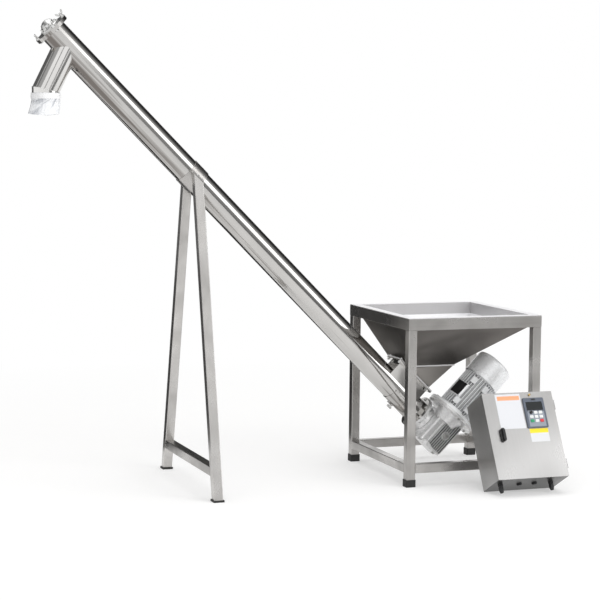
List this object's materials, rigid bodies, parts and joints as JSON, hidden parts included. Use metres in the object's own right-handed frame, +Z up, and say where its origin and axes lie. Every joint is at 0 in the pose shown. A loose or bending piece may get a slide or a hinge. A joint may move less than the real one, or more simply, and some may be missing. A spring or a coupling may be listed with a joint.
{
  "type": "screw feeder",
  "caption": "Inclined screw feeder with a square hopper stand, polished conveyor tube, support stand, worm gear drive with motor, and a control box with keypad.",
  "frame": {"origin": "centre of the bottom face of the hopper stand's front left foot", "axes": "+X runs from the outlet end towards the hopper, +Y from the front with the control box to the rear, +Z up"},
  "size_m": [2.2295, 1.1009, 2.0412],
  "materials": {
    "frame_steel": "satin",
    "hopper_steel": "satin, grain along the sheet",
    "tube_steel": "polished along the tube",
    "box_steel": "brushed upright",
    "bolt_steel": "bright",
    "cast_aluminium": "die-cast, lightly textured",
    "motor_silver": "silver paint, satin",
    "shaft_steel": "turned",
    "flight_steel": "satin",
    "wheel_bronze": "machined",
    "core_iron": "dull",
    "black_rubber": "matte",
    "black_plastic": "satin",
    "grey_plastic": "matte",
    "inverter_plastic": "fine grain",
    "bezel_plastic": "satin",
    "display_pane": "gloss",
    "white_key": "satin",
    "green_key": "satin",
    "red_key": "satin",
    "sleeve_film": "clear film, creased",
    "strap_white": "matte"
  },
  "bodies": {
    "stand": {"frame_legs": "frame_steel", "frame_top_rails": "frame_steel", "frame_lower_rails": "frame_steel", "rubber_feet": "black_rubber", "hopper": "hopper_steel", "hopper_chute": "hopper_steel", "inlet_box": "tube_steel", "conveyor_tube": "tube_steel", "tube_fittings": "tube_steel", "discharge_spout": "tube_steel", "discharge_sleeve": "sleeve_film", "sleeve_strap": "strap_white", "end_plate": "tube_steel", "end_bearing_housing": "cast_aluminium", "end_bearing": "shaft_steel", "end_wing_bolts": "bolt_steel", "hinge_pins": "bolt_steel", "support_legs": "frame_steel", "support_crossbar": "frame_steel", "support_saddle": "frame_steel", "support_clamp": "frame_steel", "support_bolts": "bolt_steel", "gearbox_housing": "cast_aluminium", "gearbox_cover": "cast_aluminium", "gearbox_plugs": "bolt_steel", "drive_bearings": "shaft_steel", "shaft_seals": "black_rubber", "flange_bolts": "bolt_steel", "motor_housing": "motor_silver", "motor_end_bells": "motor_silver", "motor_stator": "core_iron", "motor_fan_cowl": "motor_silver", "motor_terminal_box": "motor_silver", "motor_terminal_lid": "motor_silver", "cable_glands": "grey_plastic", "control_box_shell": "box_steel", "mounting_plate": "frame_steel", "inverter": "inverter_plastic"},
    "auger": {"screw_shaft": "shaft_steel", "screw_flight": "flight_steel", "worm_wheel": "wheel_bronze"},
    "rotor": {"worm_shaft": "shaft_steel", "motor_rotor": "core_iron", "cooling_fan": "black_plastic"},
    "box_door": {"control_box_door": "box_steel", "door_gasket": "black_rubber", "keypad_bezel": "bezel_plastic", "keypad_display": "display_pane"},
    "latch": {"door_latch": "black_plastic"},
    "knob": {"speed_knob": "black_plastic"},
    "cleanout_cover": {"cleanout_door": "tube_steel"},
    "cleanout_catch": {"cleanout_latch": "bolt_steel"},
    "menu_button": {"menu_key": "white_key"},
    "enter_button": {"enter_key": "white_key"},
    "shift_button": {"shift_key": "white_key"},
    "down_button": {"down_key": "white_key"},
    "up_button": {"up_key": "white_key"},
    "run_button": {"run_key": "green_key"},
    "jog_button": {"jog_key": "white_key"},
    "stop_button": {"stop_key": "red_key"}
  },
  "joints": [
    {"name": "screw_spin", "type": "hinge", "parent": "stand", "child": "auger", "pos_m": [0.1749, 0.33, 0.2727], "axis": [-0.7071, 0, 0.7071], "continuous": true},
    {"name": "rotor_spin", "type": "hinge", "parent": "stand", "child": "rotor", "pos_m": [0.2442, 0.255, 0.2034], "axis": [0.7071, 0, 0.7071], "continuous": true},
    {"name": "door_swing", "type": "hinge", "parent": "stand", "child": "box_door", "pos_m": [0.603, -0.33865, 0.07181], "axis": [0, 0.4772, 0.8788], "range_deg": [0, 120]},
    {"name": "latch_turn", "type": "hinge", "parent": "box_door", "child": "latch", "pos_m": [0.322, -0.25692, 0.25274], "axis": [0, 0.8788, -0.4772], "range_deg": [0, 90]},
    {"name": "knob_turn", "type": "hinge", "parent": "box_door", "child": "knob", "pos_m": [0.4752, -0.2171, 0.33865], "axis": [0, 0.8788, -0.4772], "range_deg": [-150, 150]},
    {"name": "menu_press", "type": "slide", "parent": "box_door", "child": "menu_button", "axis": [0, 0.8788, -0.4772], "range_m": [0, 0.001], "stiffness_N_per_m": 300},
    {"name": "enter_press", "type": "slide", "parent": "box_door", "child": "enter_button", "axis": [0, 0.8788, -0.4772], "range_m": [0, 0.001], "stiffness_N_per_m": 300},
    {"name": "shift_press", "type": "slide", "parent": "box_door", "child": "shift_button", "axis": [0, 0.8788, -0.4772], "range_m": [0, 0.001], "stiffness_N_per_m": 300},
    {"name": "down_press", "type": "slide", "parent": "box_door", "child": "down_button", "axis": [0, 0.8788, -0.4772], "range_m": [0, 0.001], "stiffness_N_per_m": 300},
    {"name": "up_press", "type": "slide", "parent": "box_door", "child": "up_button", "axis": [0, 0.8788, -0.4772], "range_m": [0, 0.001], "stiffness_N_per_m": 300},
    {"name": "run_press", "type": "slide", "parent": "box_door", "child": "run_button", "axis": [0, 0.8788, -0.4772], "range_m": [0, 0.001], "stiffness_N_per_m": 300},
    {"name": "jog_press", "type": "slide", "parent": "box_door", "child": "jog_button", "axis": [0, 0.8788, -0.4772], "range_m": [0, 0.001], "stiffness_N_per_m": 300},
    {"name": "stop_press", "type": "slide", "parent": "box_door", "child": "stop_button", "axis": [0, 0.8788, -0.4772], "range_m": [0, 0.001], "stiffness_N_per_m": 300},
    {"name": "cleanout_swing", "type": "hinge", "parent": "stand", "child": "cleanout_cover", "pos_m": [0.09364, 0.26806, 0.33852], "axis": [-0.7071, 0, 0.7071], "range_deg": [0, 100]},
    {"name": "cleanout_latch_turn", "type": "hinge", "parent": "cleanout_cover", "child": "cleanout_catch", "pos_m": [0.05978, 0.35996, 0.30465], "axis": [-0.63, 0.454, -0.63], "range_deg": [0, 90]}
  ],
  "couplings": [
    {"joint": "rotor_spin", "follows": "screw_spin", "ratio": -10}
  ]
}
